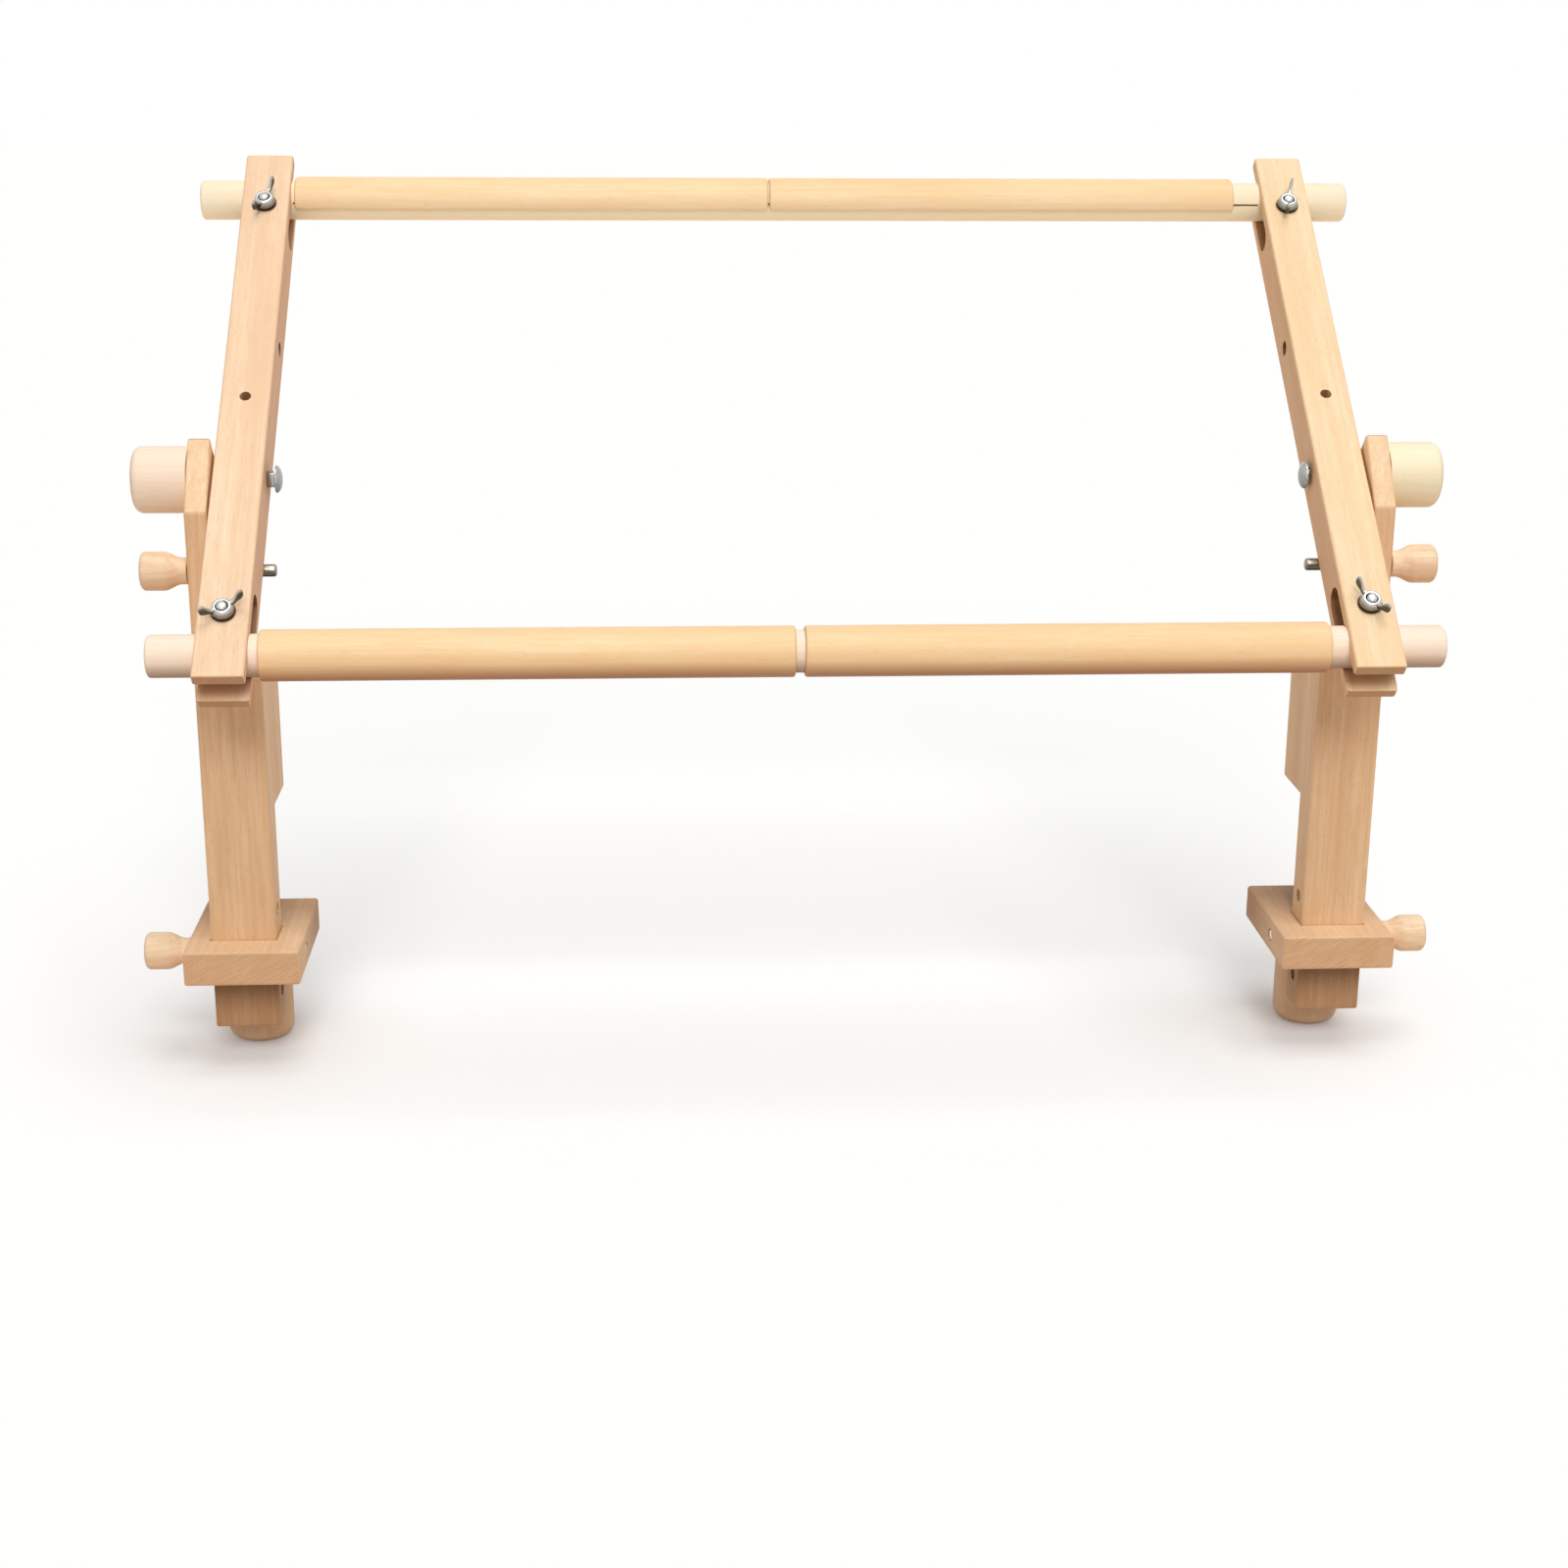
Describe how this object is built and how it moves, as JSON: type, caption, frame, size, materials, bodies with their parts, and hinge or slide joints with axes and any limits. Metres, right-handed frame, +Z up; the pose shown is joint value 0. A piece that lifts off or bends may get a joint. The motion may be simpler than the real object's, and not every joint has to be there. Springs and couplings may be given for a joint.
{
  "type": "embroidery scroll frame with table clamps",
  "caption": "Wooden scroll frame for embroidery: rollers with spring cloth clips between forked rails that tilt on posts clamped to the edge of a table.",
  "frame": {"origin": "on the upper edge of the table that the posts grip, midway between the two posts", "axes": "+X to the stitcher's right along the rollers, +Y away from the stitcher over the table, +Z up"},
  "size_m": [0.4842, 0.203, 0.3252],
  "materials": {
    "rail_wood": "sanded beech, unfinished",
    "rod_wood": "sanded beech dowel, unfinished",
    "clip_wood": "smooth turned wood, unfinished",
    "post_wood": "sanded beech, unfinished",
    "jaw_wood": "sanded beech, end grain in front",
    "knob_wood": "turned wood, unfinished",
    "zinc": "zinc plated",
    "bright_steel": "bright plated"
  },
  "bodies": {
    "left_stand": {"left_post": "post_wood", "left_jaw_block": "jaw_wood", "left_lock_insert": "bright_steel", "left_clamp_insert": "bright_steel"},
    "left_frame": {"left_rail": "rail_wood", "left_tilt_bolt": "zinc", "left_front_clamp_bolt": "zinc", "left_front_washer": "bright_steel", "left_back_clamp_bolt": "zinc", "left_back_washer": "bright_steel"},
    "left_front_nut": {"left_front_wing_nut": "zinc"},
    "left_back_nut": {"left_back_wing_nut": "zinc"},
    "left_knob": {"left_tilt_knob": "knob_wood", "left_tilt_knob_insert": "bright_steel"},
    "left_stop": {"left_stop_peg": "bright_steel", "left_stop_knob": "knob_wood"},
    "left_lock": {"left_lock_bolt": "bright_steel", "left_lock_knob": "knob_wood"},
    "left_pad_body": {"left_clamp_pad": "zinc"},
    "left_screw": {"left_clamp_screw": "zinc", "left_clamp_knob": "knob_wood"},
    "front_roller": {"front_rod": "rod_wood"},
    "front_left_shell": {"front_left_clip": "clip_wood"},
    "front_right_shell": {"front_right_clip": "clip_wood"},
    "back_roller": {"back_rod": "rod_wood"},
    "back_left_shell": {"back_left_clip": "clip_wood"},
    "back_right_shell": {"back_right_clip": "clip_wood"},
    "right_frame": {"right_rail": "rail_wood", "right_tilt_bolt": "zinc", "right_front_clamp_bolt": "zinc", "right_front_washer": "bright_steel", "right_back_clamp_bolt": "zinc", "right_back_washer": "bright_steel"},
    "right_front_nut": {"right_front_wing_nut": "zinc"},
    "right_back_nut": {"right_back_wing_nut": "zinc"},
    "right_knob": {"right_tilt_knob": "knob_wood", "right_tilt_knob_insert": "bright_steel"},
    "right_stand": {"right_post": "post_wood", "right_jaw_block": "jaw_wood", "right_lock_insert": "bright_steel", "right_clamp_insert": "bright_steel"},
    "right_stop": {"right_stop_peg": "bright_steel", "right_stop_knob": "knob_wood"},
    "right_lock": {"right_lock_bolt": "bright_steel", "right_lock_knob": "knob_wood"},
    "right_pad_body": {"right_clamp_pad": "zinc"},
    "right_screw": {"right_clamp_screw": "zinc", "right_clamp_knob": "knob_wood"}
  },
  "joints": [
    {"name": "frame_tilt", "type": "hinge", "parent": "left_stand", "child": "left_frame", "pos_m": [-0.199, 0.0065, 0.121], "axis": [1, 0, 0], "range_deg": [-70, 0]},
    {"name": "left_front_nut_spin", "type": "hinge", "parent": "left_frame", "child": "left_front_nut", "pos_m": [-0.199, -0.04456, 0.07816], "axis": [0, -0.6428, 0.766], "continuous": true},
    {"name": "left_back_nut_spin", "type": "hinge", "parent": "left_frame", "child": "left_back_nut", "pos_m": [-0.199, 0.10551, 0.20408], "axis": [0, -0.6428, 0.766], "continuous": true},
    {"name": "left_knob_spin", "type": "hinge", "parent": "left_frame", "child": "left_knob", "pos_m": [-0.227, 0.0065, 0.121], "axis": [1, 0, 0], "continuous": true},
    {"name": "left_stop_draw", "type": "slide", "parent": "left_stand", "child": "left_stop", "axis": [-1, 0, 0], "range_m": [0, 0.032]},
    {"name": "left_lock_draw", "type": "slide", "parent": "left_stand", "child": "left_lock", "axis": [-1, 0, 0], "range_m": [0, 0.04]},
    {"name": "left_clamp_travel", "type": "slide", "parent": "left_stand", "child": "left_pad_body", "axis": [0, 0, 1], "range_m": [-0.0135, 0]},
    {"name": "left_clamp_spin", "type": "hinge", "parent": "left_pad_body", "child": "left_screw", "pos_m": [-0.2048, 0.015, -0.08], "axis": [0, 0, 1], "continuous": true},
    {"name": "front_roller_spin", "type": "hinge", "parent": "left_frame", "child": "front_roller", "pos_m": [0, -0.05341, 0.07073], "axis": [1, 0, 0], "continuous": true},
    {"name": "front_left_clip_slide", "type": "slide", "parent": "front_roller", "child": "front_left_shell", "axis": [1, 0, 0], "range_m": [-0.0028, 0.0029]},
    {"name": "front_right_clip_slide", "type": "slide", "parent": "front_roller", "child": "front_right_shell", "axis": [1, 0, 0], "range_m": [-0.0029, 0.0055]},
    {"name": "back_roller_spin", "type": "hinge", "parent": "left_frame", "child": "back_roller", "pos_m": [0, 0.11436, 0.2115], "axis": [1, 0, 0], "continuous": true},
    {"name": "back_left_clip_slide", "type": "slide", "parent": "back_roller", "child": "back_left_shell", "axis": [1, 0, 0], "range_m": [-0.0009, 0]},
    {"name": "back_right_clip_slide", "type": "slide", "parent": "back_roller", "child": "back_right_shell", "axis": [1, 0, 0], "range_m": [0, 0.0103]},
    {"name": "right_side_slide", "type": "slide", "parent": "left_frame", "child": "right_frame", "axis": [1, 0, 0], "range_m": [-0.005, 0.012]},
    {"name": "right_front_nut_spin", "type": "hinge", "parent": "right_frame", "child": "right_front_nut", "pos_m": [0.199, -0.04456, 0.07816], "axis": [0, -0.6428, 0.766], "continuous": true},
    {"name": "right_back_nut_spin", "type": "hinge", "parent": "right_frame", "child": "right_back_nut", "pos_m": [0.199, 0.10551, 0.20408], "axis": [0, -0.6428, 0.766], "continuous": true},
    {"name": "right_knob_spin", "type": "hinge", "parent": "right_frame", "child": "right_knob", "pos_m": [0.227, 0.0065, 0.121], "axis": [1, 0, 0], "continuous": true},
    {"name": "right_post_tilt", "type": "hinge", "parent": "right_frame", "child": "right_stand", "pos_m": [0.199, 0.0065, 0.121], "axis": [1, 0, 0], "range_deg": [0, 70]},
    {"name": "right_stop_draw", "type": "slide", "parent": "right_stand", "child": "right_stop", "axis": [1, 0, 0], "range_m": [0, 0.032]},
    {"name": "right_lock_draw", "type": "slide", "parent": "right_stand", "child": "right_lock", "axis": [1, 0, 0], "range_m": [0, 0.04]},
    {"name": "right_clamp_travel", "type": "slide", "parent": "right_stand", "child": "right_pad_body", "axis": [0, 0, 1], "range_m": [-0.0135, 0]},
    {"name": "right_clamp_spin", "type": "hinge", "parent": "right_pad_body", "child": "right_screw", "pos_m": [0.2048, 0.015, -0.08], "axis": [0, 0, 1], "continuous": true}
  ],
  "couplings": [
    {"joint": "right_post_tilt", "follows": "frame_tilt", "ratio": -1}
  ]
}
